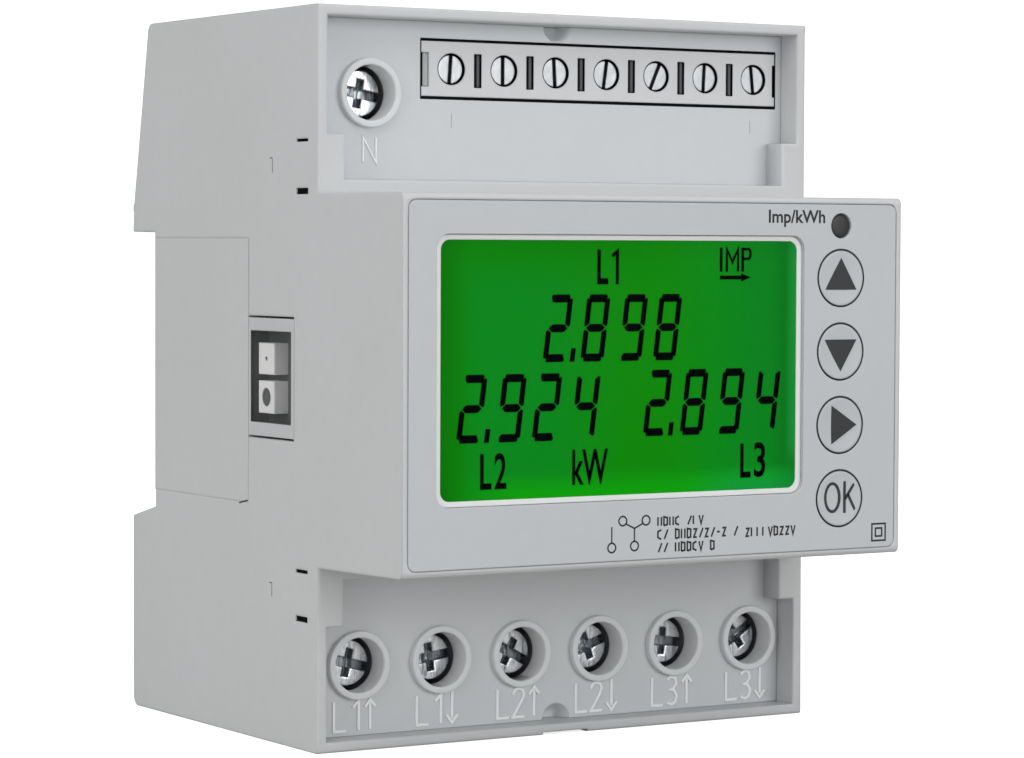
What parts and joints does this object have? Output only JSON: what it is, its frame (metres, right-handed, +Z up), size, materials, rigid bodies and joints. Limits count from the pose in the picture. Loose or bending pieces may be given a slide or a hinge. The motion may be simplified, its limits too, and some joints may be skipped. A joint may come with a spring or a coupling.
{
  "type": "din rail electricity meter",
  "caption": "Four-module rail-mounted three-phase energy meter with a green display, keys, screw terminals and a side optical port.",
  "frame": {"origin": "middle of the outline at the level of the flat bottom, on the floor plane z = 0", "axes": "+Z up as the meter hangs on its rail, +X to the right seen from the front, +Y to the back towards the rail; the display faces -Y"},
  "size_m": [0.072, 0.0716, 0.09],
  "materials": {
    "housing": "fine satin texture",
    "rear": "fine satin texture",
    "terminal_block": "satin",
    "overlay": "printed film, satin",
    "window": "clear, gloss",
    "holder": "satin",
    "lcd": "gloss",
    "backlight": "diffuse, lit from inside",
    "pcb": "solder mask",
    "switch": "matt",
    "lamp": "smoked, gloss",
    "ribbon": "satin",
    "transformer": "taped winding",
    "capacitor": "sleeved can",
    "ct": "potted ring",
    "copper": "tinned copper",
    "key": "satin, soft dome",
    "screw": "bright zinc",
    "cage": "zinc plated",
    "strip": "satin",
    "small_screw": "nickel",
    "spring": "drawn wire",
    "latch": "satin",
    "port": "satin",
    "port_clear": "clear, gloss",
    "port_white": "matt"
  },
  "bodies": {
    "casing": {"front_housing": "housing", "side_walls": "housing", "end_walls": "housing", "rear_cover": "rear", "upper_terminal_block": "terminal_block", "lower_terminal_block": "terminal_block", "front_overlay": "overlay", "display_window": "window", "lcd_holder": "holder", "lcd_glass": "lcd", "lcd_backlight": "backlight", "display_board": "pcb", "tact_switches": "switch", "pulse_led": "lamp", "ribbon_link": "ribbon", "main_board": "pcb", "signal_board": "pcb", "supply_transformer": "transformer", "supply_capacitors": "capacitor", "current_transformers": "ct", "busbars": "copper", "signal_strip": "strip", "signal_contacts": "copper", "latch_spring": "spring", "port_insert": "port", "port_window": "port_clear", "port_optics": "port_white"},
    "key_up": {"button_up": "key"},
    "key_down": {"button_down": "key"},
    "key_right": {"button_right": "key"},
    "key_ok": {"button_ok": "key"},
    "latch": {"din_latch": "latch"},
    "screw_l1_in": {"screw_l1_in": "screw"},
    "cage_l1_in": {"cage_l1_in": "cage"},
    "screw_l1_out": {"screw_l1_out": "screw"},
    "cage_l1_out": {"cage_l1_out": "cage"},
    "screw_l2_in": {"screw_l2_in": "screw"},
    "cage_l2_in": {"cage_l2_in": "cage"},
    "screw_l2_out": {"screw_l2_out": "screw"},
    "cage_l2_out": {"cage_l2_out": "cage"},
    "screw_l3_in": {"screw_l3_in": "screw"},
    "cage_l3_in": {"cage_l3_in": "cage"},
    "screw_l3_out": {"screw_l3_out": "screw"},
    "cage_l3_out": {"cage_l3_out": "cage"},
    "screw_n": {"screw_n": "screw"},
    "cage_n": {"cage_n": "cage"},
    "signal_screw_1": {"signal_screw_1": "small_screw"},
    "signal_clamp_1": {"signal_clamp_1": "cage"},
    "signal_screw_2": {"signal_screw_2": "small_screw"},
    "signal_clamp_2": {"signal_clamp_2": "cage"},
    "signal_screw_3": {"signal_screw_3": "small_screw"},
    "signal_clamp_3": {"signal_clamp_3": "cage"},
    "signal_screw_4": {"signal_screw_4": "small_screw"},
    "signal_clamp_4": {"signal_clamp_4": "cage"},
    "signal_screw_5": {"signal_screw_5": "small_screw"},
    "signal_clamp_5": {"signal_clamp_5": "cage"},
    "signal_screw_6": {"signal_screw_6": "small_screw"},
    "signal_clamp_6": {"signal_clamp_6": "cage"},
    "signal_screw_7": {"signal_screw_7": "small_screw"},
    "signal_clamp_7": {"signal_clamp_7": "cage"}
  },
  "joints": [
    {"name": "key_up_press", "type": "slide", "parent": "casing", "child": "key_up", "axis": [0, 1, 0], "range_m": [0, 0.00045], "stiffness_N_per_m": 2500, "springref_m": -0.0001},
    {"name": "key_down_press", "type": "slide", "parent": "casing", "child": "key_down", "axis": [0, 1, 0], "range_m": [0, 0.00045], "stiffness_N_per_m": 2500, "springref_m": -0.0001},
    {"name": "key_right_press", "type": "slide", "parent": "casing", "child": "key_right", "axis": [0, 1, 0], "range_m": [0, 0.00045], "stiffness_N_per_m": 2500, "springref_m": -0.0001},
    {"name": "key_ok_press", "type": "slide", "parent": "casing", "child": "key_ok", "axis": [0, 1, 0], "range_m": [0, 0.00045], "stiffness_N_per_m": 2500, "springref_m": -0.0001},
    {"name": "latch_pull", "type": "slide", "parent": "casing", "child": "latch", "axis": [0, 0, -1], "range_m": [0, 0.0032], "stiffness_N_per_m": 1200, "springref_m": -0.0012, "deforming": ["latch_spring"]},
    {"name": "screw_l1_in_turn", "type": "hinge", "parent": "casing", "child": "screw_l1_in", "pos_m": [-0.0286, -0.0095, 0.01], "axis": [0, 1, 0], "range_deg": [0, 3151]},
    {"name": "cage_l1_in_rise", "type": "slide", "parent": "casing", "child": "cage_l1_in", "axis": [0, -1, 0], "range_m": [0, 0.007]},
    {"name": "screw_l1_out_turn", "type": "hinge", "parent": "casing", "child": "screw_l1_out", "pos_m": [-0.01694, -0.0095, 0.01], "axis": [0, 1, 0], "range_deg": [0, 3151]},
    {"name": "cage_l1_out_rise", "type": "slide", "parent": "casing", "child": "cage_l1_out", "axis": [0, -1, 0], "range_m": [0, 0.007]},
    {"name": "screw_l2_in_turn", "type": "hinge", "parent": "casing", "child": "screw_l2_in", "pos_m": [-0.00528, -0.0095, 0.01], "axis": [0, 1, 0], "range_deg": [0, 3151]},
    {"name": "cage_l2_in_rise", "type": "slide", "parent": "casing", "child": "cage_l2_in", "axis": [0, -1, 0], "range_m": [0, 0.007]},
    {"name": "screw_l2_out_turn", "type": "hinge", "parent": "casing", "child": "screw_l2_out", "pos_m": [0.00638, -0.0095, 0.01], "axis": [0, 1, 0], "range_deg": [0, 3151]},
    {"name": "cage_l2_out_rise", "type": "slide", "parent": "casing", "child": "cage_l2_out", "axis": [0, -1, 0], "range_m": [0, 0.007]},
    {"name": "screw_l3_in_turn", "type": "hinge", "parent": "casing", "child": "screw_l3_in", "pos_m": [0.01804, -0.0095, 0.01], "axis": [0, 1, 0], "range_deg": [0, 3151]},
    {"name": "cage_l3_in_rise", "type": "slide", "parent": "casing", "child": "cage_l3_in", "axis": [0, -1, 0], "range_m": [0, 0.007]},
    {"name": "screw_l3_out_turn", "type": "hinge", "parent": "casing", "child": "screw_l3_out", "pos_m": [0.0297, -0.0095, 0.01], "axis": [0, 1, 0], "range_deg": [0, 3151]},
    {"name": "cage_l3_out_rise", "type": "slide", "parent": "casing", "child": "cage_l3_out", "axis": [0, -1, 0], "range_m": [0, 0.007]},
    {"name": "screw_n_turn", "type": "hinge", "parent": "casing", "child": "screw_n", "pos_m": [-0.0272, -0.0095, 0.0797], "axis": [0, 1, 0], "range_deg": [0, 3151]},
    {"name": "cage_n_rise", "type": "slide", "parent": "casing", "child": "cage_n", "axis": [0, -1, 0], "range_m": [0, 0.007]},
    {"name": "signal_screw_1_turn", "type": "hinge", "parent": "casing", "child": "signal_screw_1", "pos_m": [-0.0155, -0.01165, 0.0829], "axis": [0, 1, 0], "range_deg": [0, 1729]},
    {"name": "signal_clamp_1_rise", "type": "slide", "parent": "casing", "child": "signal_clamp_1", "axis": [0, -1, 0], "range_m": [0, 0.0024]},
    {"name": "signal_screw_2_turn", "type": "hinge", "parent": "casing", "child": "signal_screw_2", "pos_m": [-0.00788, -0.01165, 0.0829], "axis": [0, 1, 0], "range_deg": [0, 1729]},
    {"name": "signal_clamp_2_rise", "type": "slide", "parent": "casing", "child": "signal_clamp_2", "axis": [0, -1, 0], "range_m": [0, 0.0024]},
    {"name": "signal_screw_3_turn", "type": "hinge", "parent": "casing", "child": "signal_screw_3", "pos_m": [-0.00026, -0.01165, 0.0829], "axis": [0, 1, 0], "range_deg": [0, 1729]},
    {"name": "signal_clamp_3_rise", "type": "slide", "parent": "casing", "child": "signal_clamp_3", "axis": [0, -1, 0], "range_m": [0, 0.0024]},
    {"name": "signal_screw_4_turn", "type": "hinge", "parent": "casing", "child": "signal_screw_4", "pos_m": [0.00736, -0.01165, 0.0829], "axis": [0, 1, 0], "range_deg": [0, 1729]},
    {"name": "signal_clamp_4_rise", "type": "slide", "parent": "casing", "child": "signal_clamp_4", "axis": [0, -1, 0], "range_m": [0, 0.0024]},
    {"name": "signal_screw_5_turn", "type": "hinge", "parent": "casing", "child": "signal_screw_5", "pos_m": [0.01498, -0.01165, 0.0829], "axis": [0, 1, 0], "range_deg": [0, 1729]},
    {"name": "signal_clamp_5_rise", "type": "slide", "parent": "casing", "child": "signal_clamp_5", "axis": [0, -1, 0], "range_m": [0, 0.0024]},
    {"name": "signal_screw_6_turn", "type": "hinge", "parent": "casing", "child": "signal_screw_6", "pos_m": [0.0226, -0.01165, 0.0829], "axis": [0, 1, 0], "range_deg": [0, 1729]},
    {"name": "signal_clamp_6_rise", "type": "slide", "parent": "casing", "child": "signal_clamp_6", "axis": [0, -1, 0], "range_m": [0, 0.0024]},
    {"name": "signal_screw_7_turn", "type": "hinge", "parent": "casing", "child": "signal_screw_7", "pos_m": [0.03022, -0.01165, 0.0829], "axis": [0, 1, 0], "range_deg": [0, 1729]},
    {"name": "signal_clamp_7_rise", "type": "slide", "parent": "casing", "child": "signal_clamp_7", "axis": [0, -1, 0], "range_m": [0, 0.0024]}
  ],
  "couplings": [
    {"joint": "screw_l1_in_turn", "follows": "cage_l1_in_rise", "rad_per_m": 7854},
    {"joint": "screw_l1_out_turn", "follows": "cage_l1_out_rise", "rad_per_m": 7854},
    {"joint": "screw_l2_in_turn", "follows": "cage_l2_in_rise", "rad_per_m": 7854},
    {"joint": "screw_l2_out_turn", "follows": "cage_l2_out_rise", "rad_per_m": 7854},
    {"joint": "screw_l3_in_turn", "follows": "cage_l3_in_rise", "rad_per_m": 7854},
    {"joint": "screw_l3_out_turn", "follows": "cage_l3_out_rise", "rad_per_m": 7854},
    {"joint": "screw_n_turn", "follows": "cage_n_rise", "rad_per_m": 7854},
    {"joint": "signal_screw_1_turn", "follows": "signal_clamp_1_rise", "rad_per_m": 12566},
    {"joint": "signal_screw_2_turn", "follows": "signal_clamp_2_rise", "rad_per_m": 12566},
    {"joint": "signal_screw_3_turn", "follows": "signal_clamp_3_rise", "rad_per_m": 12566},
    {"joint": "signal_screw_4_turn", "follows": "signal_clamp_4_rise", "rad_per_m": 12566},
    {"joint": "signal_screw_5_turn", "follows": "signal_clamp_5_rise", "rad_per_m": 12566},
    {"joint": "signal_screw_6_turn", "follows": "signal_clamp_6_rise", "rad_per_m": 12566},
    {"joint": "signal_screw_7_turn", "follows": "signal_clamp_7_rise", "rad_per_m": 12566}
  ]
}
